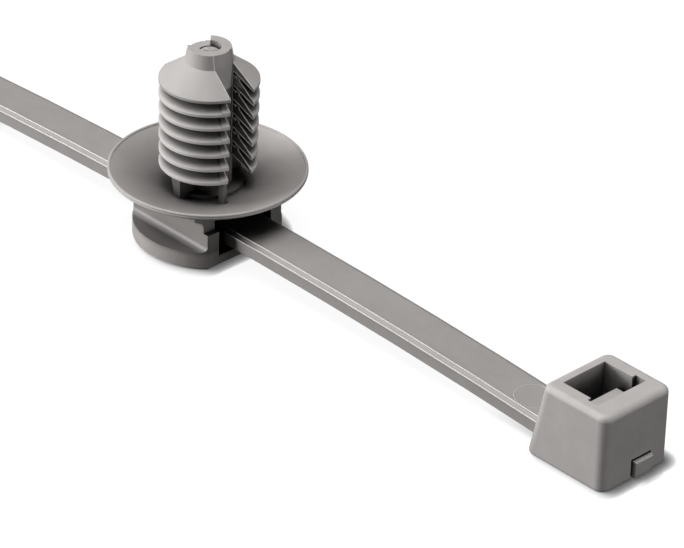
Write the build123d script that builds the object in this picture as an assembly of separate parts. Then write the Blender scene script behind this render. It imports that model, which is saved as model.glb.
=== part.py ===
"""Cable tie with a sliding fir tree mount, in two polyamide mouldings.

The cable tie is one moulding: head with its integral pawl, strap and toothed
tail. The fir tree mount is the other: a saddle foot threaded on the strap, a
dished spring disc and a finned stem that is pushed into a panel hole.

Frame, in millimetres: the origin is where the stem's axis meets the plane of
the disc's rim, which is the panel face. +Z runs up the stem, +X along the
strap towards the head, +Y across the strap. Both pieces lie on one floor.
"""
from build123d import *
from math import asin, cos, hypot, radians, sin, tan
import os

# Strap
strap_width = 4.6
strap_thickness = 1.38
bevel_width = 0.45
bevel_drop = 0.22
tie_length = 150.0
arch_radius = 625.0
apex_offset = 5.2
arch_tail_reach = 33.0
strap_lift = 0.88

# Teeth and tail
tooth_pitch = 1.3
tooth_depth = 0.42
tooth_crest = 0.1
tooth_back_slope = 0.1
tooth_start = 84.0
tooth_run = 50.0
rail_width = 0.62
tip_length = 11.0
tip_width = 2.2
tip_slope_length = 6.0
tip_thickness = 0.85

# Head
head_reach = 52.4
head_length = 7.3
head_width = 8.0
head_height = 7.3
head_slant = 1.6
head_edge_radius = 0.55
head_base_radius = 0.28
head_corner_radius = 0.9
end_wall = 2.05
window_length = 4.3
window_clearance = 0.17
window_lead = 0.35

# Pawl, with its pocket in the window's end
pawl_width = 4.0
pawl_pocket_depth = 1.15
pawl_pocket_widening = 0.4
pawl_root_height = 1.5
pawl_root_thickness = 1.5
pawl_root_reach = 0.5
pawl_back_gap = 0.25
pawl_top_drop = 1.5
pawl_top_thickness = 1.15
pawl_throat = 1.62
pawl_tooth_depth = 0.3
pawl_tooth_relief = 0.12
pawl_tooth_count = 3

# Gate tab on the head's end face
tab_width = 2.1
tab_height = 1.75
tab_stand_out = 0.35
tab_offset = 0.7
tab_groove = 0.25
tab_edge_radius = 0.17

# Foot
seat_height = 6.95
foot_diameter = 13.3
foot_length = 9.9
ledge_height = 1.75
slot_floor = 1.05
slot_height = 3.3
slot_side_clearance = 0.8
wall_thickness = 1.3
wall_root_radius = 0.6
end_corner_radius = 0.45
wall_shoulder = 3.5
wall_setback = 0.6
neck_flare = 0.8
neck_flare_rise = 0.4
neck_inset = 0.05
saddle_radius = 40.0
saddle_depth = 0.3
foot_edge_radius = 0.35

# Disc
disc_diameter = 17.8
disc_rim = 0.4
disc_hub_thickness = 0.8
disc_dish = 1.75
disc_hub_radius = 3.6
disc_hollow = 0.24
rim_edge_radius = 0.16
boss_radius = 3.1
boss_height = 0.35

# Stem
stem_height = 11.93
core_diameter = 4.32
nose_height = 1.33
nose_top_diameter = 3.86
fin_diameter = 8.94
fin_taper = 0.004
fin_pitch = 1.37
fin_count = 7
fin_top_angle = 41.0
fin_under_angle = 29.0
fin_edge = 0.25
fin_root_depth = 0.43
first_fin_height = 8.58
channel_width = 1.76
channel_draft = 7.0
channel_relief = 0.06
lip_spread_angle = 27.5
lip_gap = 0.42
lip_edge = 0.45
lip_knee_reach = 3.4
leg_inner_reach = 3.25
leg_outer_reach = 4.0
leg_half_spread = 1.7
rib_top_width = 1.35
rib_bottom_width = 0.57
rib_reach = 3.95
recess_diameter = 2.1
recess_depth = 1.1
notch_angle = 90.0
notch_depth = 0.55

# How far a cutting shape runs past what it cuts, and how near two sizes count as one
cut_margin = 2.0
tolerance = 0.01

# Sizes that follow from those above
floor_z = -seat_height
apex_underside = floor_z + slot_floor + strap_lift
slot_width = strap_width + 2 * slot_side_clearance
neck_width = slot_width + 2 * wall_thickness
window_width = strap_width + 2 * window_clearance
tail_end_x = head_reach - tie_length
disc_hub_z = -disc_dish


def prism(points, width, center_y=0.0):
    """Extrude an outline of (x, z) points by a width across the strap."""
    vertices = [(x, 0, z) for x, z in points]
    face = make_face(Polyline(*vertices, close=True))
    half = width / 2
    return Pos(0, center_y, 0) * extrude(face, amount=half, dir=(0, 1, 0), both=True)


def block(x_low, x_high, y_low, y_high, z_low, z_high):
    """Give a box between two corners."""
    size = (x_high - x_low, y_high - y_low, z_high - z_low)
    middle = ((x_low + x_high) / 2, (y_low + y_high) / 2, (z_low + z_high) / 2)
    return Pos(*middle) * Box(*size)


def strap_path():
    """Draw the strap's underside: an arch, a reverse curve and a flat tail."""
    arch_center = apex_underside - arch_radius
    head_angle = asin((head_reach - end_wall - window_length - apex_offset) / arch_radius)
    tail_angle = asin((arch_tail_reach + apex_offset) / arch_radius)

    def on_arch(angle):
        return (apex_offset + arch_radius * sin(angle), 0, arch_center + arch_radius * cos(angle))

    start = on_arch(head_angle)
    middle = on_arch((head_angle - tail_angle) / 2)
    arch_end = on_arch(-tail_angle)
    drop = arch_end[2] - floor_z
    landing_radius = drop / (1 - cos(tail_angle))
    landing_x = arch_end[0] - landing_radius * sin(tail_angle)
    half_angle = tail_angle / 2
    landing_middle = (
        landing_x + landing_radius * sin(half_angle),
        0,
        floor_z + landing_radius * (1 - cos(half_angle)),
    )
    landing = (landing_x, 0, floor_z)
    return Wire(
        [
            Edge.make_three_point_arc(start, middle, arch_end),
            Edge.make_three_point_arc(arch_end, landing_middle, landing),
            Edge.make_line(landing, (tail_end_x, 0, floor_z)),
        ]
    )


def strap_section():
    """Outline the strap's section: flat faces, with long bevels on top."""
    half = strap_width / 2
    side = strap_thickness - bevel_drop
    return [
        (-half, 0),
        (half, 0),
        (half, side),
        (half - bevel_width, strap_thickness),
        (-half + bevel_width, strap_thickness),
        (-half, side),
    ]


def frame_on_path(path, length):
    """Give the plane at a length along the path, x to the tail, z upwards."""
    share = length / path.length
    tangent = path.tangent_at(share)
    across = Vector(0, 0, 1).cross(tangent)
    return Plane(origin=path.position_at(share), x_dir=tangent, z_dir=tangent.cross(across))


def make_strap(path):
    """Sweep the strap and give its tail a tapered, thinned tip."""
    start = path.position_at(0)
    tangent = path.tangent_at(0)
    plane = Plane(origin=start, x_dir=(0, 1, 0), z_dir=tangent)
    up = plane.y_dir.Z
    corners = [plane.from_local_coords((y, v if up > 0 else -v)) for y, v in strap_section()]
    section = make_face(Polyline(*corners, close=True))
    strap = sweep(section, path=path)

    tip_start = tail_end_x + tip_length
    half = strap_width / 2
    half_tip = tip_width / 2
    outline = make_face(
        Polyline(
            (tail_end_x + half_tip, half_tip),
            (tip_start, half),
            (head_reach, half),
            (head_reach, -half),
            (tip_start, -half),
            (tail_end_x + half_tip, -half_tip),
        )
        + RadiusArc((tail_end_x + half_tip, -half_tip), (tail_end_x + half_tip, half_tip), half_tip)
    )
    height = seat_height + stem_height
    plan = Pos(0, 0, floor_z - cut_margin) * extrude(outline, amount=height)
    slope_start = tail_end_x + tip_slope_length
    top = floor_z + strap_thickness
    thinned = prism(
        [
            (slope_start, top),
            (slope_start, top + cut_margin),
            (tail_end_x - cut_margin, top + cut_margin),
            (tail_end_x - cut_margin, floor_z + tip_thickness),
            (tail_end_x, floor_z + tip_thickness),
        ],
        strap_width + cut_margin,
    )
    return (strap & plan) - thinned


def make_tooth_gaps(path):
    """Shape the gaps between teeth: each has its steep wall on the tail side."""
    gaps = []
    tooth_width = strap_width - 2 * rail_width
    head_inset = end_wall + window_length
    ramp = tooth_pitch - tooth_crest - tooth_back_slope
    above = strap_thickness + cut_margin
    outline = [
        (0, 0, strap_thickness - tooth_depth),
        (-ramp, 0, strap_thickness),
        (-ramp, 0, above),
        (tooth_back_slope, 0, above),
        (tooth_back_slope, 0, strap_thickness),
    ]
    for index in range(int(tooth_run / tooth_pitch)):
        plane = frame_on_path(path, tooth_start - head_inset + index * tooth_pitch)
        corners = [plane.from_local_coords(corner) for corner in outline]
        face = make_face(Polyline(*corners, close=True))
        gaps.append(extrude(face, amount=tooth_width / 2, dir=(0, 1, 0), both=True))
    return gaps


def make_head():
    """Mould the head: a slanted block with a window, a pocket and its pawl."""
    end = head_reach
    back = end - head_length
    top = floor_z + head_height
    head = prism(
        [(end, floor_z), (end, top), (back, top), (back - head_slant, floor_z)],
        head_width,
    )
    upright = head.edges().filter_by(Axis.Z)
    slanted = [
        edge
        for edge in head.edges()
        if abs(edge.length - hypot(head_slant, head_height)) < tolerance
    ]
    head = fillet(upright + slanted, head_corner_radius)
    head = fillet(head.faces().sort_by(Axis.Z)[-1].edges(), head_edge_radius)
    head = fillet(head.faces().sort_by(Axis.Z)[0].edges(), head_base_radius)

    window_end = end - end_wall
    window_start = window_end - window_length
    half_window = window_width / 2
    window = block(
        window_start, window_end, -half_window, half_window, floor_z - cut_margin, top + cut_margin
    )
    lead = window_lead
    flare = loft(
        [
            Pos(window_start + window_length / 2, 0, floor_z)
            * Rectangle(window_length + lead, window_width + lead),
            Pos(window_start + window_length / 2, 0, floor_z + lead)
            * Rectangle(window_length, window_width),
        ]
    )
    half_pocket = half_window + pawl_pocket_widening
    pocket = block(
        window_end - pawl_pocket_depth,
        window_end,
        -half_pocket,
        half_pocket,
        floor_z + pawl_root_height,
        top + cut_margin,
    )
    return head - window - flare - pocket


def make_pawl():
    """Shape the pawl: rooted low on the end wall, leaning in to its teeth."""
    wall = head_reach - end_wall
    root_low = floor_z + pawl_root_height - pawl_root_reach
    root_high = root_low + pawl_root_thickness
    top = floor_z + head_height - pawl_top_drop
    tip = wall - window_length + pawl_throat
    tooth_height = (top - root_high) / (pawl_tooth_count + 1)
    points = [(wall + pawl_root_reach, root_low), (wall - pawl_root_reach, root_low)]
    for index in range(pawl_tooth_count):
        low = root_high + (index + 0.5) * tooth_height
        high = low + tooth_height - pawl_tooth_relief
        edge = tip + (pawl_tooth_count - 1 - index) * pawl_tooth_depth
        points.append((edge + pawl_tooth_depth, low))
        points.append((edge, high - pawl_tooth_relief))
        points.append((edge + pawl_tooth_depth, high))
    points.append((tip + pawl_tooth_depth, top))
    points.append((tip + pawl_tooth_depth + pawl_top_thickness, top))
    points.append((wall - pawl_back_gap, root_high))
    points.append((wall + pawl_root_reach, root_high))
    return prism(points, pawl_width)


def make_gate_tab():
    """Add the gate's tab on the end face, in its own shallow groove."""
    low = tab_offset - tab_width / 2
    high = tab_offset + tab_width / 2
    groove = block(
        head_reach - tab_groove,
        head_reach + cut_margin,
        low - tab_groove,
        high,
        floor_z - cut_margin,
        floor_z + tab_height + tab_groove,
    )
    tab = block(
        head_reach - end_wall / 2,
        head_reach + tab_stand_out,
        low,
        high,
        floor_z + tab_groove,
        floor_z + tab_height,
    )
    tab = fillet(tab.faces().sort_by(Axis.X)[-1].edges(), tab_edge_radius)
    return groove, tab


def make_cable_tie():
    """Join strap, head and pawl as the one moulding that they are."""
    path = strap_path()
    strap = make_strap(path)
    strap -= make_tooth_gaps(path)
    groove, tab = make_gate_tab()
    window_clear = block(
        head_reach - end_wall - window_length,
        head_reach,
        -head_width,
        head_width,
        floor_z - cut_margin,
        floor_z + head_height,
    )
    return (strap - window_clear) + (make_head() - groove) + make_pawl() + tab


def disc_arc(hub_z, rim_z):
    """Draw one face of the dish from hub to rim, hollow side up."""
    rim = disc_diameter / 2
    middle = (disc_hub_radius + rim) / 2
    low_middle = (middle + disc_hollow, 0, (hub_z + rim_z) / 2 - disc_hollow)
    return ThreePointArc((disc_hub_radius, 0, hub_z), low_middle, (rim, 0, rim_z))


def below_disc():
    """Fill the space under the disc, up to the middle of its thickness."""
    rim = disc_diameter / 2
    low = floor_z - ledge_height
    hub_z = disc_hub_z - disc_hub_thickness / 2
    upper = disc_arc(hub_z, -disc_rim / 2)
    rest = Polyline(
        (rim, 0, -disc_rim / 2), (rim, 0, low), (0, 0, low), (0, 0, hub_z), (disc_hub_radius, 0, hub_z)
    )
    return revolve(make_face(upper + rest), Axis.Z)


def make_neck():
    """Draw the neck's section across the strap, flared at the ledge and the disc."""
    half = neck_width / 2
    half_length = foot_length / 2
    under = disc_hub_z - disc_hub_thickness
    arc_top = under + neck_flare_rise
    arc_low = arc_top - neck_flare
    wide = half + neck_flare
    corner = neck_flare * (1 - sin(radians(45)))
    low = floor_z + foot_edge_radius
    ledge = floor_z + ledge_height
    root = wall_root_radius
    root_corner = root * (1 - sin(radians(45)))
    right = Polyline((0, 0, low), (0, half + root, low), (0, half + root, ledge)) + [
        ThreePointArc(
            (0, half + root, ledge),
            (0, half + root_corner, ledge + root_corner),
            (0, half, ledge + root),
        ),
        Line((0, half, ledge + root), (0, half, arc_low)),
        ThreePointArc((0, half, arc_low), (0, half + corner, arc_top - corner), (0, wide, arc_top)),
        Polyline((0, wide, arc_top), (0, wide, 0), (0, 0, 0)),
    ]
    outline = make_face(right + mirror(right, about=Plane.XZ))
    neck = extrude(outline, amount=half_length, dir=(1, 0, 0), both=True)
    shoulder = floor_z + wall_shoulder
    setback = half_length - wall_setback
    reach = half_length + cut_margin
    for x_low, x_high in ((-reach, -setback), (setback, reach)):
        neck -= block(x_low, x_high, -wide, wide, shoulder, cut_margin)
    return neck & foot_column(foot_diameter / 2 - neck_inset, seat_height) & below_disc()


def foot_column(radius, height):
    """Stand up the foot's plan: a circle with flat ends and rounded corners."""
    half = foot_length / 2
    column = Pos(0, 0, floor_z + height / 2) * Cylinder(radius, height)
    column &= block(-half, half, -radius, radius, floor_z, floor_z + height)
    return fillet(column.edges().filter_by(Axis.Z), end_corner_radius)


def make_foot():
    """Mould the foot: round plate with flat ends, saddle, ledge and neck."""
    plate = foot_column(foot_diameter / 2, ledge_height)
    plate = fillet(plate.faces().sort_by(Axis.Z)[0].edges(), foot_edge_radius)
    foot = plate + make_neck()
    saddle_axis = floor_z + saddle_depth - saddle_radius
    saddle = Pos(0, 0, saddle_axis) * Rot(90, 0, 0) * Cylinder(saddle_radius, foot_diameter * 2)
    return foot - saddle


def make_disc():
    """Revolve the dished spring disc, thinning to its rim."""
    rim = disc_diameter / 2
    hub = disc_hub_radius
    hub_under = disc_hub_z - disc_hub_thickness
    outline = make_face(
        Polyline((hub, 0, disc_hub_z), (0, 0, disc_hub_z), (0, 0, hub_under), (hub, 0, hub_under))
        + disc_arc(hub_under, -disc_rim)
        + Line((rim, 0, -disc_rim), (rim, 0, 0))
        + disc_arc(disc_hub_z, 0)
    )
    rim_corners = outline.vertices().sort_by(Axis.X)[-2:]
    disc = revolve(fillet(rim_corners, rim_edge_radius), Axis.Z)
    boss = Pos(0, 0, disc_hub_z + boss_height / 2) * Cylinder(boss_radius, boss_height)
    return disc + boss


def fin_tip(index):
    """Give a fin's tip radius and height, counted from the top."""
    radius = fin_diameter / 2 * (1 - fin_taper * index)
    return radius, first_fin_height - fin_pitch * index


def make_fins():
    """Revolve the lead-in cone and the fins below it as one sawtooth."""
    root = core_diameter / 2 - fin_root_depth
    under = tan(radians(fin_under_angle))
    over = tan(radians(fin_top_angle))
    cone_top = stem_height - nose_height
    fins = []
    for index in range(fin_count):
        radius, z = fin_tip(index)
        depth = radius - root
        outline = [(root, 0, z + under * depth), (radius, 0, z), (radius, 0, z + fin_edge)]
        if index == 0:
            outline += [(core_diameter / 2, 0, cone_top), (root, 0, cone_top)]
        else:
            outline.append((root, 0, z + fin_edge + over * depth))
        fins.append(revolve(make_face(Polyline(*outline, close=True)), Axis.Z))
    return fins[0] + fins[1:]


def channel_plan():
    """Draw the plan of one side's channel, widening outwards by its draft."""
    reach = fin_diameter
    half = channel_width / 2
    wide = half + reach * tan(radians(channel_draft))
    return make_face(Polyline((0, -half), (reach, -wide), (reach, wide), (0, half), close=True))


def make_core(relief):
    """Build the core with its tapered nose, smaller all round by a relief."""
    low = disc_hub_z - disc_hub_thickness / 2
    cone_top = stem_height - nose_height
    radius = core_diameter / 2 - relief
    top_radius = nose_top_diameter / 2 - relief
    core = Pos(0, 0, (low + cone_top) / 2) * Cylinder(radius, cone_top - low)
    nose = Pos(0, 0, stem_height - nose_height / 2) * Cone(radius, top_radius, nose_height)
    return core + nose


def make_nose_recess():
    """Cut the blind recess in the nose, with its notch to the tail side."""
    recess = Pos(0, 0, stem_height - recess_depth / 2) * Cylinder(
        recess_diameter / 2, recess_depth
    )
    reach = core_diameter
    half = radians(notch_angle / 2)
    wedge = make_face(
        Polyline(
            (0, 0),
            (-reach * cos(half), reach * sin(half)),
            (-reach, 0),
            (-reach * cos(half), -reach * sin(half)),
            close=True,
        )
    )
    notch = Pos(0, 0, stem_height - notch_depth) * extrude(wedge, amount=notch_depth * 2)
    return recess + notch


def fin_underside(index, reach):
    """Give the height of a fin's underside at a reach from the axis."""
    radius, z = fin_tip(index)
    return z + tan(radians(fin_under_angle)) * (radius - reach)


def make_lip(index):
    """Thicken one fin where it ends at the channels, and leave a narrow gap above it."""
    radius, z = fin_tip(index)
    root = core_diameter / 2 - fin_root_depth
    ceiling = fin_pitch - lip_gap
    outline = [
        (root, fin_underside(index, root)),
        (radius, z),
        (radius, z + lip_edge),
        (lip_knee_reach, fin_underside(index, lip_knee_reach) + ceiling),
        (root, fin_underside(index, root) + ceiling),
    ]
    spread = radius * tan(radians(lip_spread_angle))
    plan = make_face(Polyline((0, 0), (radius, -spread), (radius, spread), close=True))
    sector = Pos(0, 0, z) * extrude(plan, amount=fin_diameter)
    lip = prism(outline, 2 * spread) & sector
    limit = Pos(0, 0, z + fin_pitch) * Cylinder(radius, 2 * fin_diameter)
    return (lip + Rot(0, 0, 180) * lip) & limit


def make_legs():
    """Build the two legs, at opposite corners, from the lowest fin to the disc."""
    low = disc_hub_z - disc_hub_thickness / 2
    outline = [
        (leg_inner_reach, fin_underside(fin_count - 1, leg_inner_reach)),
        (leg_outer_reach, fin_underside(fin_count - 1, leg_outer_reach)),
        (leg_outer_reach, low),
        (leg_inner_reach, low),
    ]
    near = channel_width / 2 + leg_inner_reach * tan(radians(channel_draft))
    leg = prism(outline, leg_half_spread - near, -(leg_half_spread + near) / 2)
    return leg + Rot(0, 0, 180) * leg


def make_ribs():
    """Build the tapered ribs that carry the lowest fin on the disc."""
    low = disc_hub_z - disc_hub_thickness / 2
    high = fin_underside(fin_count - 1, rib_reach) + fin_edge
    ribs = []
    for side in (-1, 1):
        middle = side * rib_reach / 2
        shift = (rib_top_width - rib_bottom_width) / 2 * -side
        top = Pos(0, middle, high) * Rectangle(rib_top_width, rib_reach)
        bottom = Pos(shift, middle, low) * Rectangle(rib_bottom_width, rib_reach)
        ribs.append(loft([bottom, top]))
    return ribs[0] + ribs[1]


def make_stem():
    """Assemble core, fins, lips, legs and ribs, and cut the channels."""
    lips = [make_lip(index) for index in range(1, fin_count)]
    stem = make_core(0) + make_fins() + lips + make_legs()
    channel_low = disc_hub_z + boss_height
    channel = Pos(0, 0, channel_low) * extrude(
        channel_plan(), amount=stem_height + cut_margin - channel_low
    )
    channels = channel + Rot(0, 0, 180) * channel
    stem = (stem - channels) + make_core(channel_relief) + make_ribs()
    return stem - make_nose_recess()


def make_fir_tree_mount():
    """Join foot, disc and stem as one moulding and cut the strap's slot."""
    slot_low = floor_z + slot_floor
    half_slot = slot_width / 2
    slot = block(
        -foot_diameter, foot_diameter, -half_slot, half_slot, slot_low, slot_low + slot_height
    )
    return (make_foot() + make_disc() - slot) + make_stem()


def main():
    """Build both pieces and write one STEP file for each."""
    os.makedirs("parts", exist_ok=True)
    pieces = {"cable_tie": make_cable_tie(), "fir_tree_mount": make_fir_tree_mount()}
    for name, piece in pieces.items():
        print(name, "solids", len(piece.solids()), "volume", round(piece.volume, 1))
        export_step(piece, f"parts/{name}.step")


if __name__ == "__main__":
    main()
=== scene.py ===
"""Dresses the cable tie and its fir tree mount, and sets the table for its picture.

Everything is in metres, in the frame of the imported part: the origin is where the
stem's axis meets the plane of the disc's rim, +Z up the stem, +X towards the head.
"""

import logging
import math
from dataclasses import dataclass
from enum import Enum
from typing import Callable

import bmesh
import bpy
from mathutils import Matrix, Vector

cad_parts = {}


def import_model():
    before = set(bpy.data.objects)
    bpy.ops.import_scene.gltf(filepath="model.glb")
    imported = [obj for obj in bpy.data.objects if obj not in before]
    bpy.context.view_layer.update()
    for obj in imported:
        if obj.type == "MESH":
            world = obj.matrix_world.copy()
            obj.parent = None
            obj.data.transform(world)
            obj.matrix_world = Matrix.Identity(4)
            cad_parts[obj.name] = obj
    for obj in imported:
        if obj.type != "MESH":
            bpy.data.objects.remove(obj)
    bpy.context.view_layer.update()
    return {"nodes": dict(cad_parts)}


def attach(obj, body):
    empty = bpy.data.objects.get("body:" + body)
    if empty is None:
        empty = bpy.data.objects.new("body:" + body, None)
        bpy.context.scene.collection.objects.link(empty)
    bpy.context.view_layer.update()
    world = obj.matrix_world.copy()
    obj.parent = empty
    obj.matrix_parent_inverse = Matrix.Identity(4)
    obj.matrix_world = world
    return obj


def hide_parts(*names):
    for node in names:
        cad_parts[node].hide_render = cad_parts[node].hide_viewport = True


log = logging.getLogger("fir_tree_tie")

MM = 0.001
MERGE_MM = 0.001
# The head's base and the foot's lower edge lie on the table.
FLOOR_MM = -6.95
IMAGE_WIDTH = 684
SENSOR_WIDTH_MM = 36.0


class Axis(str, Enum):
    """An axis of the part, named as the shader's outputs are."""

    X = "X"
    Z = "Z"


class Body(str, Enum):
    """The two bodies that pieces ride on."""

    TIE = "tie"
    MOUNT = "mount"


def linear(hex_colour: str) -> tuple[float, float, float, float]:
    """Turn an sRGB hex colour into linear red, green, blue and alpha.

    Args:
        hex_colour: Six hex digits, such as "9e9a98".

    Returns:
        The colour in linear light, with an alpha of 1.
    """
    channels = [int(hex_colour[i : i + 2], 16) / 255 for i in (0, 2, 4)]
    return (*[c / 12.92 if c <= 0.04045 else ((c + 0.055) / 1.055) ** 2.4 for c in channels], 1.0)


def add_node(
    tree: bpy.types.NodeTree, kind: str, settings: dict | None = None, links: dict | None = None
) -> bpy.types.Node:
    """Add a shader node, set its values and link its inputs.

    Args:
        tree: The node tree that gets the node.
        kind: The node's type name.
        settings: Input names or numbers with their values, and attributes after a dot.
        links: Input names or numbers with the output socket that feeds each.

    Returns:
        The new node.
    """
    node = tree.nodes.new(kind)
    for name, value in (settings or {}).items():
        if str(name).startswith("."):
            setattr(node, name[1:], value)
        else:
            node.inputs[name].default_value = value
    for name, socket in (links or {}).items():
        tree.links.new(socket, node.inputs[name])
    return node


def new_material(name: str) -> bpy.types.Material:
    """Make a material whose node tree is empty.

    Args:
        name: The material's name.

    Returns:
        The material.
    """
    material = bpy.data.materials.new(name)
    material.use_nodes = True
    material.node_tree.nodes.clear()
    return material


def merged_copy(source: bpy.types.Object, name: str) -> bpy.types.Object:
    """Copy an object with its mesh and merge the copy's loose triangles.

    Args:
        source: The object to copy.
        name: The copy's name.

    Returns:
        The copy, which alone is selected and active.
    """
    bpy.ops.object.select_all(action="DESELECT")
    piece = bpy.data.objects.new(name, source.data.copy())
    bpy.context.scene.collection.objects.link(piece)
    bpy.context.view_layer.objects.active = piece
    piece.select_set(True)
    bpy.ops.object.mode_set(mode="EDIT")
    bpy.ops.mesh.select_all(action="SELECT")
    bpy.ops.mesh.remove_doubles(threshold=MERGE_MM * MM)
    bpy.ops.object.mode_set(mode="OBJECT")
    return piece


@dataclass(frozen=True)
class Finish:
    """What one kind of mould wall leaves on the nylon.

    Attributes:
        colour: The surface's colour, as sRGB hex.
        roughness: The shader's roughness.
        grain_depth_mm: The depth of the fine grain.
    """

    colour: str
    roughness: float
    grain_depth_mm: float


STRAP_POLISHED = Finish("9e9a98", 0.5, 0.003)
HEAD_ERODED = Finish("b5b1af", 0.6, 0.012)
DISC_POLISHED = Finish("918d8b", 0.5, 0.010)
STEM_ERODED = Finish("aca8a6", 0.6, 0.018)
# The flash beads and the ejector ring are real ridges. Their light colour is a painted highlight along
# the edges and ridges they form.
THIN_FLASH_HIGHLIGHT = Finish("d0cdcb", 0.5, 0.003)


@dataclass(frozen=True)
class Ramp:
    """A share that goes evenly from one value to another along a measure.

    Attributes:
        start_mm: Where the change starts.
        end_mm: Where it ends.
        start_share: The share up to the start.
        end_share: The share past the end.
    """

    start_mm: float
    end_mm: float
    start_share: float
    end_share: float

    def add(self, tree: bpy.types.NodeTree, measure: bpy.types.NodeSocket) -> bpy.types.NodeSocket:
        """Add the node that works out the share.

        Args:
            tree: The material's node tree.
            measure: The socket with the measure in metres.

        Returns:
            The socket with the share.
        """
        ends = {
            "From Min": self.start_mm * MM,
            "From Max": self.end_mm * MM,
            "To Min": self.start_share,
            "To Max": self.end_share,
        }
        return add_node(tree, "ShaderNodeMapRange", ends, {"Value": measure}).outputs["Result"]


@dataclass(frozen=True)
class MountPaintedLight:
    """Painted light and shade over the mount's zones, as shares of their plain colour.

    The disc has painted shade by the stem that lightens outwards to a painted
    highlight at its rim, the foot's ledge has painted light that makes it lighter
    than the polished wall above it, and the fins have painted shade at their roots
    that lightens to painted light at their tips. The top fin and the nose keep their
    plain colour.

    Attributes:
        disc: The disc's painted shade and light by radius.
        rim: A further share by radius, a painted highlight along the disc's rim.
        foot: The foot's painted light by height.
        fin: The fins' painted shade and light by radius.
        disc_zone: By height, 1 on the disc and 0 on the foot.
        fin_zone: By height, 1 on the fins and 0 on the cone and the nose.
    """

    disc: Ramp = Ramp(4.5, 8.9, 0.72, 1.38)
    rim: Ramp = Ramp(8.5, 8.8, 1.0, 1.5)
    foot: Ramp = Ramp(-5.6, -5.2, 1.6, 1.0)
    fin: Ramp = Ramp(3.9, 4.4, 0.3, 1.5)
    disc_zone: Ramp = Ramp(-2.4, -2.2, 0.0, 1.0)
    fin_zone: Ramp = Ramp(8.35, 8.5, 1.0, 0.0)

    def add(
        self,
        tree: bpy.types.NodeTree,
        place: bpy.types.NodeSocket,
        height: bpy.types.NodeSocket,
        eroded: bpy.types.NodeSocket,
    ) -> bpy.types.NodeSocket:
        """Add the nodes that work out the share of painted light and shade.

        Args:
            tree: The material's node tree.
            place: The socket with the Object coordinates.
            height: The socket with their Z.
            eroded: The socket that is 1 on the stem and 0 below it.

        Returns:
            The socket with the share.
        """
        flat = add_node(
            tree, "ShaderNodeVectorMath", {".operation": "MULTIPLY", 1: (1, 1, 0)}, {0: place}
        ).outputs[0]
        radius = add_node(
            tree, "ShaderNodeVectorMath", {".operation": "LENGTH"}, {0: flat}
        ).outputs["Value"]
        disc = add_node(
            tree,
            "ShaderNodeMath",
            {".operation": "MULTIPLY"},
            {0: self.disc.add(tree, radius), 1: self.rim.add(tree, radius)},
        ).outputs[0]
        on_disc, on_fins = self.disc_zone.add(tree, height), self.fin_zone.add(tree, height)
        low = add_node(
            tree, "ShaderNodeMix", None, {0: on_disc, 2: self.foot.add(tree, height), 3: disc}
        ).outputs[0]
        stem = add_node(
            tree, "ShaderNodeMix", {2: 1.0}, {0: on_fins, 3: self.fin.add(tree, radius)}
        ).outputs[0]
        return add_node(tree, "ShaderNodeMix", None, {0: eroded, 2: low, 3: stem}).outputs[0]


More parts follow.
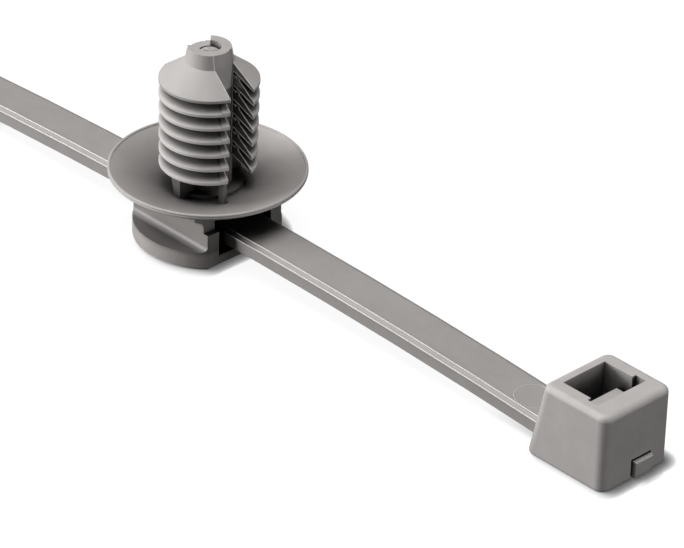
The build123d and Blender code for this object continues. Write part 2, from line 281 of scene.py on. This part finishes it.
@dataclass(frozen=True)
class MouldedNylon:
    """Grey polyamide 6.6, polished along one stretch of the moulding and spark-eroded past it.

    The eye gets a soft sheen with no clear reflection, and a faint mottling from
    the melt's flow that shows on the broad faces. The colour also carries painted
    shade, which darkens it in hollows and creases.

    Attributes:
        name: The material's name.
        axis: The axis along which the finish changes.
        polished_below_mm: The place on that axis where the polished stretch ends.
        below: The finish up to that place.
        above: The finish past it.
        change_mm: The length over which one finish turns into the other.
        ior: The nylon's index of refraction.
        grain_mm: The spacing of the fine grain. The real one is finer, about 0.03 mm,
            and is drawn as coarse as it needs to show.
        flow_mm: The size of the mottling.
        flow_share: How much the mottling lightens and darkens the colour.
        edge_radius_mm: The radius that the light sees on each sharp edge.
        painted_shade_reach_mm: How far away a wall still darkens the colour with painted shade.
        painted_shade_darkest_share: The open share of the surroundings at which the painted shade in a
            hollow is darkest.
        open_share: The open share from which the surface keeps its colour, free of painted shade.
        painted_hollow_shade: What the painted shade leaves of the colour in the darkest hollow.
        painted_light: The painted light and shade by zone over the mount, if this is the mount's nylon.
    """

    name: str
    axis: Axis
    polished_below_mm: float
    below: Finish
    above: Finish
    change_mm: float = 0.3
    ior: float = 1.53
    grain_mm: float = 0.16
    flow_mm: float = 2.2
    flow_share: float = 0.12
    edge_radius_mm: float = 0.05
    painted_shade_reach_mm: float = 4.0
    painted_shade_darkest_share: float = 0.32
    open_share: float = 0.54
    painted_hollow_shade: float = 0.03
    painted_light: MountPaintedLight | None = None

    def build(self) -> bpy.types.Material:
        """Make the material.

        Returns:
            A node material on Object coordinates.
        """
        material = new_material(self.name)
        tree = material.node_tree
        place = add_node(tree, "ShaderNodeTexCoord").outputs["Object"]
        along = add_node(tree, "ShaderNodeSeparateXYZ", None, {"Vector": place}).outputs[self.axis.value]
        start = self.polished_below_mm - self.change_mm / 2
        eroded = add_node(
            tree,
            "ShaderNodeMapRange",
            {"From Min": start * MM, "From Max": (start + self.change_mm) * MM},
            {"Value": along},
        ).outputs["Result"]
        flow = add_node(
            tree,
            "ShaderNodeTexNoise",
            {"Scale": 1 / (self.flow_mm * MM), "Detail": 3.0, "Roughness": 0.6},
            {"Vector": place},
        ).outputs["Fac"]
        grain = add_node(
            tree,
            "ShaderNodeTexNoise",
            {"Scale": 1 / (self.grain_mm * MM), "Detail": 2.0, "Roughness": 0.5},
            {"Vector": place},
        ).outputs["Fac"]
        colour = add_node(
            tree,
            "ShaderNodeMix",
            {".data_type": "RGBA", 6: linear(self.below.colour), 7: linear(self.above.colour)},
            {0: eroded},
        ).outputs[2]
        shade = add_node(
            tree,
            "ShaderNodeMapRange",
            {"To Min": 1 - self.flow_share, "To Max": 1 + self.flow_share},
            {"Value": flow},
        ).outputs["Result"]
        # Painted shade: the colour darkens in hollows and creases, where little of the surroundings is
        # open.
        sky_share = add_node(
            tree, "ShaderNodeAmbientOcclusion", {".samples": 8, "Distance": self.painted_shade_reach_mm * MM}
        ).outputs["AO"]
        painted_shade_factor = add_node(
            tree,
            "ShaderNodeMapRange",
            {
                "From Min": self.painted_shade_darkest_share,
                "From Max": self.open_share,
                "To Min": self.painted_hollow_shade,
                "To Max": 1.0,
            },
            {"Value": sky_share},
        ).outputs["Result"]
        value = add_node(
            tree, "ShaderNodeMath", {".operation": "MULTIPLY"}, {0: shade, 1: painted_shade_factor}
        ).outputs[0]
        # Painted light and shade by zone, on the mount's nylon only.
        if self.painted_light:
            share = self.painted_light.add(tree, place, along, eroded)
            value = add_node(
                tree, "ShaderNodeMath", {".operation": "MULTIPLY"}, {0: value, 1: share}
            ).outputs[0]
        mottled_with_painted_shade = add_node(
            tree, "ShaderNodeHueSaturation", None, {"Color": colour, "Value": value}
        ).outputs["Color"]
        roughness = add_node(
            tree,
            "ShaderNodeMix",
            {2: self.below.roughness, 3: self.above.roughness},
            {0: eroded},
        ).outputs[0]
        depth = add_node(
            tree,
            "ShaderNodeMix",
            {2: self.below.grain_depth_mm * MM, 3: self.above.grain_depth_mm * MM},
            {0: eroded},
        ).outputs[0]
        rounded = add_node(tree, "ShaderNodeBevel", {".samples": 6, "Radius": self.edge_radius_mm * MM})
        bump = add_node(
            tree,
            "ShaderNodeBump",
            {"Strength": 1.0},
            {"Height": grain, "Distance": depth, "Normal": rounded.outputs["Normal"]},
        )
        shader = add_node(
            tree,
            "ShaderNodeBsdfPrincipled",
            {"IOR": self.ior},
            {"Base Color": mottled_with_painted_shade, "Roughness": roughness, "Normal": bump.outputs["Normal"]},
        )
        add_node(tree, "ShaderNodeOutputMaterial", None, {"Surface": shader.outputs["BSDF"]})
        return material


TIE_NYLON = MouldedNylon(
    "tie_nylon",
    Axis.X,
    44.3,
    below=STRAP_POLISHED,
    above=HEAD_ERODED,
    change_mm=0.8,
    painted_shade_reach_mm=5.1,
)
MOUNT_NYLON = MouldedNylon(
    "mount_nylon", Axis.Z, 0.3, below=DISC_POLISHED, above=STEM_ERODED, painted_light=MountPaintedLight()
)
RIM_NYLON = MouldedNylon("rim_nylon", Axis.Z, 0.0, below=STEM_ERODED, above=STEM_ERODED)
# Nylon for the flash beads and the ejector ring, whose light colour is a painted highlight.
FLASH_HIGHLIGHT_NYLON = MouldedNylon("flash_highlight", Axis.Z, 0.0, below=THIN_FLASH_HIGHLIGHT, above=THIN_FLASH_HIGHLIGHT)


@dataclass(frozen=True)
class StrapBevel:
    """The stretch of the strap's bevel that carries a burr, on the side of -Y.

    Attributes:
        outer_y_mm: The place past the bevel's outer edge.
        inner_y_mm: The place past its inner edge.
        tail_x_mm: Where the burr starts.
        head_x_mm: Where it ends, in front of the head.
        least_along: The least share of an edge's length that runs along X.
        least_up: The least height of the normals beside the edge.
    """

    outer_y_mm: float = -2.4
    inner_y_mm: float = -1.7
    tail_x_mm: float = -44.0
    head_x_mm: float = 44.4
    least_along: float = 0.9
    least_up: float = -0.1

    def holds(self, edge: bmesh.types.BMEdge) -> bool:
        """Tell whether an edge runs along this stretch.

        Args:
            edge: An edge of the cable tie's mesh.

        Returns:
            True along the two long edges of the bevel.
        """
        start, end = (vert.co for vert in edge.verts)
        middle = (start + end) / 2 / MM
        along = abs((end - start).normalized().x) > self.least_along
        beside = self.outer_y_mm < middle.y < self.inner_y_mm
        up = min(face.normal.z for face in edge.link_faces) > self.least_up
        return along and beside and up and self.tail_x_mm < middle.x < self.head_x_mm


@dataclass(frozen=True)
class ChannelRim:
    """The outlines of the fins, the cone and the nose on the channel's four walls.

    Attributes:
        core_radius_mm: The radius that the outlines lie outside of.
        least_x_mm: The least distance from the plane across the strap.
        least_z_mm: The height that the outlines lie above.
        most_tilt: The most that a channel wall's normal points up or down.
        least_facing: The least share of that normal along Y.
    """

    core_radius_mm: float = 1.9
    least_x_mm: float = 1.3
    least_z_mm: float = 0.6
    most_tilt: float = 0.02
    least_facing: float = 0.98

    def holds(self, edge: bmesh.types.BMEdge) -> bool:
        """Tell whether an edge is where one of these forms meets a channel wall.

        Args:
            edge: An edge of the mount's mesh.

        Returns:
            True where just one of the faces beside the edge is a channel wall.
        """
        middle = (edge.verts[0].co + edge.verts[1].co) / 2 / MM
        walls = [
            face
            for face in edge.link_faces
            if abs(face.normal.z) < self.most_tilt and abs(face.normal.y) > self.least_facing
        ]
        off_core = math.hypot(middle.x, middle.y) > self.core_radius_mm
        outside = off_core and abs(middle.x) > self.least_x_mm
        return len(walls) == 1 and outside and middle.z > self.least_z_mm


@dataclass(frozen=True)
class FlashLines:
    """Thin beads of flash along chosen edges of a moulding, where the mould's parts meet.

    Attributes:
        name: The piece's name.
        body: The body that it rides on.
        picks: Tells which edges get a bead.
        radius_mm: The bead's radius.
        least_turn_deg: The least angle between the faces at such an edge.
        smooth_deg: The most that a bead turns in one smooth stretch.
    """

    name: str
    body: Body
    picks: Callable[[bmesh.types.BMEdge], bool]
    radius_mm: float
    least_turn_deg: float = 12.0
    smooth_deg: float = 50.0

    def build(self, source: bpy.types.Object, material: bpy.types.Material) -> bpy.types.Object:
        """Make the beads as one piece.

        Args:
            source: The moulding's object.
            material: The nylon that they are made of.

        Returns:
            The new object.
        """
        piece = merged_copy(source, self.name)
        bpy.ops.object.mode_set(mode="EDIT")
        mesh = bmesh.from_edit_mesh(piece.data)
        mesh.normal_update()
        least = math.radians(self.least_turn_deg)
        kept = {
            edge
            for edge in mesh.edges
            if len(edge.link_faces) == 2 and edge.calc_face_angle(0) > least and self.picks(edge)
        }
        bmesh.ops.delete(mesh, geom=[e for e in mesh.edges if e not in kept], context="EDGES_FACES")
        bmesh.ops.delete(mesh, geom=list(mesh.faces), context="FACES_ONLY")
        bmesh.update_edit_mesh(piece.data)
        bpy.ops.object.mode_set(mode="OBJECT")
        bpy.ops.object.convert(target="CURVE")
        piece = bpy.context.object
        piece.data.bevel_depth = self.radius_mm * MM
        piece.data.bevel_resolution = 1
        piece.data.use_fill_caps = True
        bpy.ops.object.convert(target="MESH")
        piece = bpy.context.object
        bpy.ops.object.shade_smooth_by_angle(angle=math.radians(self.smooth_deg))
        piece.data.materials.clear()
        piece.data.materials.append(material)
        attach(piece, self.body.value)
        return piece


@dataclass(frozen=True)
class RimBead:
    """The rounded land along the disc's rim, which catches the light all round.

    Attributes:
        disc_radius_mm: The disc's radius.
        bead_mm: The land's radius in section.
        height_mm: The height of its middle.
    """

    disc_radius_mm: float = 8.9
    bead_mm: float = 0.15
    height_mm: float = -0.15

    def build(self, material: bpy.types.Material) -> bpy.types.Object:
        """Make the bead.

        Args:
            material: The nylon that it is made of.

        Returns:
            The new object.
        """
        bpy.ops.object.select_all(action="DESELECT")
        bpy.ops.mesh.primitive_torus_add(
            major_segments=192,
            minor_segments=12,
            major_radius=(self.disc_radius_mm - self.bead_mm) * MM,
            minor_radius=self.bead_mm * MM,
            location=(0, 0, self.height_mm * MM),
        )
        bead = bpy.context.object
        bead.name = "disc_rim_bead"
        bpy.ops.object.transform_apply(location=True, rotation=True, scale=True)
        bpy.ops.object.shade_smooth()
        bead.data.materials.append(material)
        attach(bead, Body.MOUNT.value)
        return bead


@dataclass(frozen=True)
class TrimmedStem:
    """The mount with each fin's thick end turned down to the fin's own slope.

    The trim is a stack of rings, one in the gap over each fin, that are turned
    about the stem and cut away.

    Attributes:
        fin_radius_mm: The top fin's radius.
        fin_taper: The share by which each fin is slimmer than the one above it.
        first_fin_mm: The height of the top fin's edge.
        pitch_mm: The distance from fin to fin.
        fin_count: How many fins there are, the cone's edge included.
        edge_mm: The height over a fin's edge at which its ring starts.
        top_angle_deg: The slope of a fin's upper side.
        under_angle_deg: The slope of a fin's lower side.
        inner_radius_mm: The rings' inner radius.
        outer_radius_mm: Their outer radius, outside the fins.
        clearance_mm: The gap between a ring and the fin above it.
        turn_steps: In how many steps a ring is turned.
        smooth_deg: The most that the moulding turns in one smooth stretch.
    """

    fin_radius_mm: float = 4.47
    fin_taper: float = 0.004
    first_fin_mm: float = 8.58
    pitch_mm: float = 1.37
    fin_count: int = 7
    edge_mm: float = 0.34
    top_angle_deg: float = 43.0
    under_angle_deg: float = 29.0
    inner_radius_mm: float = 2.85
    outer_radius_mm: float = 4.9
    clearance_mm: float = 0.02
    turn_steps: int = 120
    smooth_deg: float = 24.0

    def ring_section(self, index: int) -> list[tuple[float, float]]:
        """Draw the section of the ring that trims one fin's ends.

        Args:
            index: The fin's number from the top.

        Returns:
            The ring's corners as radius and height, in millimetres.
        """
        radius = self.fin_radius_mm * (1 - self.fin_taper * index)
        tip = self.first_fin_mm - self.pitch_mm * index
        above = tip + self.pitch_mm - self.clearance_mm
        over = math.tan(math.radians(self.top_angle_deg))
        under = math.tan(math.radians(self.under_angle_deg))
        inner, outer = self.inner_radius_mm, self.outer_radius_mm
        return [
            (inner, tip + self.edge_mm + over * (radius - inner)),
            (outer, tip + self.edge_mm + over * (radius - outer)),
            (outer, above + under * (radius - outer)),
            (inner, above + under * (radius - inner)),
        ]

    def cutter(self) -> bpy.types.Object:
        """Turn the rings, one over each fin below the cone.

        Returns:
            The object that holds all the rings.
        """
        mesh = bpy.data.meshes.new("trim_rings")
        rings = bpy.data.objects.new("trim_rings", mesh)
        bpy.context.scene.collection.objects.link(rings)
        sections = bmesh.new()
        for index in range(1, self.fin_count):
            corners = [
                sections.verts.new((r * MM, 0, z * MM)) for r, z in self.ring_section(index)
            ]
            for start, end in zip(corners, corners[1:] + corners[:1]):
                sections.edges.new((start, end))
        sections.to_mesh(mesh)
        sections.free()
        bpy.ops.object.select_all(action="DESELECT")
        bpy.context.view_layer.objects.active = rings
        rings.select_set(True)
        bpy.ops.object.mode_set(mode="EDIT")
        bpy.ops.mesh.select_all(action="SELECT")
        bpy.ops.mesh.spin(steps=self.turn_steps, angle=math.tau, center=(0, 0, 0), axis=(0, 0, 1))
        bpy.ops.mesh.select_all(action="SELECT")
        bpy.ops.mesh.remove_doubles(threshold=MERGE_MM * MM)
        bpy.ops.mesh.select_all(action="SELECT")
        bpy.ops.mesh.normals_make_consistent(inside=False)
        bpy.ops.object.mode_set(mode="OBJECT")
        return rings

    def build(self, source: bpy.types.Object, material: bpy.types.Material) -> bpy.types.Object:
        """Make the trimmed mount in the place of its CAD node.

        Args:
            source: The CAD node's object.
            material: The nylon that it is made of.

        Returns:
            The new object.
        """
        rings = self.cutter()
        piece = merged_copy(source, "mount_moulding")
        bpy.ops.mesh.customdata_custom_splitnormals_clear()
        trim = piece.modifiers.new("trim", "BOOLEAN")
        trim.operation = "DIFFERENCE"
        trim.solver = "EXACT"
        trim.object = rings
        bpy.ops.object.modifier_apply(modifier=trim.name)
        bpy.data.objects.remove(rings)
        bpy.ops.object.shade_smooth_by_angle(angle=math.radians(self.smooth_deg))
        piece.data.materials.clear()
        piece.data.materials.append(material)
        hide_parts(source.name)
        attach(piece, Body.MOUNT.value)
        return piece


@dataclass(frozen=True)
class GateScar:
    """The torn stub of plastic that the gate left in the nose's recess.

    Attributes:
        radius_mm: The stub's radius.
        floor_mm: The height of the recess's floor.
        height_mm: The stub's height over it.
        tear_mm: How far its torn top goes up and down.
        edge_mm: How near to the rim and the top a corner counts as on it.
        seed: The seed of the torn top's random shape.
    """

    radius_mm: float = 0.85
    floor_mm: float = 10.85
    height_mm: float = 0.55
    tear_mm: float = 0.1
    edge_mm: float = 0.02
    seed: int = 4

    def build(self, material: bpy.types.Material) -> bpy.types.Object:
        """Make the stub.

        Args:
            material: The nylon that it is made of.

        Returns:
            The new object.
        """
        bpy.ops.object.select_all(action="DESELECT")
        top = self.floor_mm + self.height_mm
        bpy.ops.mesh.primitive_cylinder_add(
            vertices=20,
            radius=self.radius_mm * MM,
            depth=self.height_mm * MM,
            end_fill_type="TRIFAN",
            location=(0, 0, (self.floor_mm + self.height_mm / 2) * MM),
        )
        stub = bpy.context.object
        stub.name = "gate_scar"
        bpy.ops.object.transform_apply(location=True, rotation=True, scale=True)
        bpy.ops.object.mode_set(mode="EDIT")
        bpy.ops.mesh.select_mode(type="FACE")
        bpy.ops.mesh.select_all(action="DESELECT")
        mesh = bmesh.from_edit_mesh(stub.data)
        mesh.normal_update()
        for face in mesh.faces:
            face.select_set(face.normal.z > 0.9)
        bmesh.update_edit_mesh(stub.data)
        bpy.ops.mesh.subdivide(number_cuts=1)
        mesh = bmesh.from_edit_mesh(stub.data)
        for vert in mesh.verts:
            inside = vert.co.xy.length < (self.radius_mm - self.edge_mm) * MM
            vert.select_set(inside and vert.co.z > (top - self.edge_mm) * MM)
        mesh.select_flush_mode()
        bmesh.update_edit_mesh(stub.data)
        bpy.ops.mesh.select_mode(type="VERT")
        bpy.ops.transform.vertex_random(
            offset=self.tear_mm * MM, uniform=0.4, normal=0.6, seed=self.seed
        )
        bpy.ops.object.mode_set(mode="OBJECT")
        stub.data.materials.append(material)
        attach(stub, Body.MOUNT.value)
        return stub


@dataclass(frozen=True)
class EjectorMark:
    """The faint ring that an ejector pin pressed into the strap's top, beside the head.

    Attributes:
        x_mm: The place of its middle along the strap.
        radius_mm: The pin's radius.
        ridge_mm: How far the ring stands up.
    """

    x_mm: float = 40.6
    radius_mm: float = 1.7
    ridge_mm: float = 0.02

    def build(self, strap: bpy.types.Object, material: bpy.types.Material) -> bpy.types.Object:
        """Make the ring on the strap's upper face.

        Args:
            strap: The cable tie's object, whose surface carries the ring.
            material: The nylon that it is made of.

        Returns:
            The new object.
        """
        above = Vector((self.x_mm * MM, 0, 1))
        _, place, normal, _ = strap.ray_cast(above, Vector((0, 0, -1)))
        bpy.ops.object.select_all(action="DESELECT")
        bpy.ops.mesh.primitive_torus_add(
            major_segments=48,
            minor_segments=6,
            major_radius=self.radius_mm * MM,
            minor_radius=self.ridge_mm * MM,
            location=place,
            rotation=(0, math.atan2(normal.x, normal.z), 0),
        )
        ring = bpy.context.object
        ring.name = "ejector_mark"
        bpy.ops.object.transform_apply(location=True, rotation=True, scale=True)
        bpy.ops.object.shade_smooth()
        ring.data.materials.append(material)
        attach(ring, Body.TIE.value)
        return ring


@dataclass(frozen=True)
class PhotoCamera:
    """A long lens looking down on the head's corner, fitted to the strap, disc and head.

    Attributes:
        azimuth_deg: The way that the picture's right points, from +X towards +Y.
        elevation_deg: How far the lens looks down.
        roll_deg: How far the picture is turned about the lens.
        distance_mm: The distance from the aim, along the lens.
        focal_px: The focal length in pixels of the picture.
        aside_mm: The aim's place to the right of the lens's line.
        below_mm: The aim's place over that line.
        aim_height_mm: The aim's height over the disc's rim.
    """

    azimuth_deg: float = 45.378
    elevation_deg: float = 31.112
    roll_deg: float = 1.916
    distance_mm: float = 420.0
    focal_px: float = 4755.8
    aside_mm: float = -11.84
    below_mm: float = 9.476
    aim_height_mm: float = -0.206

    def build(self) -> bpy.types.Object:
        """Make the camera and set it as the scene's own.

        Returns:
            The camera object.
        """
        azimuth, elevation, roll = (
            math.radians(a) for a in (self.azimuth_deg, self.elevation_deg, self.roll_deg)
        )
        level = Vector((math.cos(azimuth), math.sin(azimuth), 0))
        ahead = Vector(
            (
                -math.sin(azimuth) * math.cos(elevation),
                math.cos(azimuth) * math.cos(elevation),
                -math.sin(elevation),
            )
        )
        above = level.cross(ahead)
        right = level * math.cos(roll) + above * math.sin(roll)
        up = above * math.cos(roll) - level * math.sin(roll)
        place = -self.aside_mm * right - self.below_mm * up - self.distance_mm * ahead
        place.z += self.aim_height_mm
        data = bpy.data.cameras.new("photo_camera")
        data.sensor_width = SENSOR_WIDTH_MM
        data.lens = self.focal_px / IMAGE_WIDTH * SENSOR_WIDTH_MM
        data.clip_start = 0.01
        data.clip_end = 10.0
        camera = bpy.data.objects.new("photo_camera", data)
        bpy.context.scene.collection.objects.link(camera)
        turn = Matrix((right, up, -ahead)).transposed()
        camera.matrix_world = Matrix.Translation(place * MM) @ turn.to_4x4()
        bpy.context.scene.camera = camera
        return camera


@dataclass(frozen=True)
class SoftBox:
    """A round soft box that faces the part.

    Attributes:
        name: The lamp's name.
        azimuth_deg: Its direction from the part, from +X towards +Y.
        elevation_deg: Its height over the table, as an angle.
        size_mm: Its diameter.
        power: Its power in watts.
    """

    name: str
    azimuth_deg: float
    elevation_deg: float
    size_mm: float
    power: float


@dataclass(frozen=True)
class Studio:
    """A white table under one broad box, with a low key from the left and weak fills.

    Attributes:
        floor_size_mm: The table's length and width.
        lamp_distance_mm: How far each box is from the aim.
        aim_mm: The point that the boxes face.
        painted_shadow_reach_mm: How far the painted contact shadow under the part spreads on the table.
        painted_shadow_depth: How dark that painted shadow is, as a power.
        lit_side: The side that the light reaches the table from, which the painted shadow lies away
            from.
        card_share: How much of the lamps' light the table shows.
        glow: The table's own brightness to the camera.
        boxes: The soft boxes.
    """

    floor_size_mm: float = 3000.0
    lamp_distance_mm: float = 600.0
    aim_mm: tuple[float, float, float] = (12.0, 0.0, -2.0)
    painted_shadow_reach_mm: float = 1.15
    painted_shadow_depth: float = 3.0
    lit_side: tuple[float, float, float] = (-0.75, -0.65, 0.15)
    card_share: float = 0.12
    glow: float = 0.93
    boxes: tuple[SoftBox, ...] = (
        SoftBox("key_box", 225, 8, 300, 3.7),
        SoftBox("top_box", -17, 85, 500, 3.2),
        SoftBox("left_box", 205, 50, 300, 0.78),
        SoftBox("right_box", 7, 8, 300, 0.62),
    )

    def add_box(self, box: SoftBox) -> None:
        """Hang one soft box.

        Args:
            box: What and where it is.
        """
        data = bpy.data.lights.new(box.name, "AREA")
        data.shape = "DISK"
        data.size = box.size_mm * MM
        data.energy = box.power
        lamp = bpy.data.objects.new(box.name, data)
        bpy.context.scene.collection.objects.link(lamp)
        around, above = math.radians(box.azimuth_deg), math.radians(box.elevation_deg)
        towards = Vector(
            (math.cos(above) * math.cos(around), math.cos(above) * math.sin(around), math.sin(above))
        )
        lamp.location = (Vector(self.aim_mm) + towards * self.lamp_distance_mm) * MM
        lamp.rotation_mode = "QUATERNION"
        lamp.rotation_quaternion = (-towards).to_track_quat("-Z", "Y")

    def add_floor(self) -> None:
        """Lay the table's top: white to the camera with a faint shadow from the lamps and a painted
        contact shadow under the part, dark to the part.
        """
        bpy.ops.mesh.primitive_plane_add(size=self.floor_size_mm * MM, location=(0, 0, FLOOR_MM * MM))
        floor = bpy.context.object
        floor.name = "table_top"
        material = new_material("white_card")
        tree = material.node_tree
        lit_side = add_node(tree, "ShaderNodeCombineXYZ", dict(enumerate(self.lit_side))).outputs[0]
        # Painted contact shadow: the table darkens where the part closes it in, on the side away from
        # the light.
        open_share = add_node(
            tree,
            "ShaderNodeAmbientOcclusion",
            {".samples": 16, "Distance": self.painted_shadow_reach_mm * MM},
            {"Normal": lit_side},
        ).outputs["AO"]
        painted_contact_shadow = add_node(
            tree, "ShaderNodeMath", {".operation": "POWER", 1: self.painted_shadow_depth}, {0: open_share}
        ).outputs[0]
        lit = [
            add_node(
                tree, "ShaderNodeMath", {".operation": "MULTIPLY", 1: share}, {0: painted_contact_shadow}
            ).outputs[0]
            for share in (self.card_share, self.glow)
        ]
        card = add_node(tree, "ShaderNodeBsdfDiffuse", None, {"Color": lit[0]})
        glow = add_node(tree, "ShaderNodeEmission", {"Color": linear("ffffff")}, {"Strength": lit[1]})
        seen = add_node(
            tree, "ShaderNodeAddShader", None, {0: card.outputs[0], 1: glow.outputs[0]}
        )
        dim = add_node(tree, "ShaderNodeBsdfDiffuse", {"Color": linear("3f3f3f")})
        path = add_node(tree, "ShaderNodeLightPath")
        choice = add_node(
            tree,
            "ShaderNodeMixShader",
            None,
            {"Fac": path.outputs["Is Camera Ray"], 1: dim.outputs[0], 2: seen.outputs[0]},
        )
        add_node(tree, "ShaderNodeOutputMaterial", None, {"Surface": choice.outputs[0]})
        floor.data.materials.append(material)
        # The painted shade in the nylon's hollows leaves the table out.
        floor.visible_shadow = False

    def add_room(self) -> None:
        """Make the room white to the camera and dark to the part."""
        world = bpy.data.worlds.new("room")
        world.use_nodes = True
        tree = world.node_tree
        tree.nodes.clear()
        path = add_node(tree, "ShaderNodeLightPath")
        wall = add_node(
            tree,
            "ShaderNodeBackground",
            {"Color": linear("ffffff")},
            {"Strength": path.outputs["Is Camera Ray"]},
        )
        add_node(tree, "ShaderNodeOutputWorld", None, {"Surface": wall.outputs[0]})
        bpy.context.scene.world = world

    def build(self) -> None:
        """Set up the table, the lamps and the room."""
        self.add_floor()
        self.add_room()
        for box in self.boxes:
            self.add_box(box)


def main() -> None:
    """Dress the part and set its stage."""
    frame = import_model()
    PhotoCamera().build()
    Studio().build()
    bpy.context.scene.view_settings.view_transform = "Standard"
    tie, mount = frame["nodes"]["cable_tie"], frame["nodes"]["fir_tree_mount"]
    tie_nylon, mount_nylon = TIE_NYLON.build(), MOUNT_NYLON.build()
    rim_nylon, flash_highlight_nylon = RIM_NYLON.build(), FLASH_HIGHLIGHT_NYLON.build()
    for node, nylon in ((tie, tie_nylon), (mount, mount_nylon)):
        node.data.materials.clear()
        node.data.materials.append(nylon)
        log.info("dressed %s", node.name)
    moulding = TrimmedStem().build(mount, mount_nylon)
    strap_burr = FlashLines("strap_bevel_lines", Body.TIE, StrapBevel().holds, 0.07)
    channel_flash = FlashLines("channel_flash", Body.MOUNT, ChannelRim().holds, 0.055)
    pieces = (
        moulding,
        strap_burr.build(tie, flash_highlight_nylon),
        channel_flash.build(moulding, flash_highlight_nylon),
        RimBead().build(rim_nylon),
        GateScar().build(rim_nylon),
        EjectorMark().build(tie, flash_highlight_nylon),
    )
    for piece in pieces:
        log.info("built %s with %d faces", piece.name, len(piece.data.polygons))


if __name__ == "__main__":
    main()
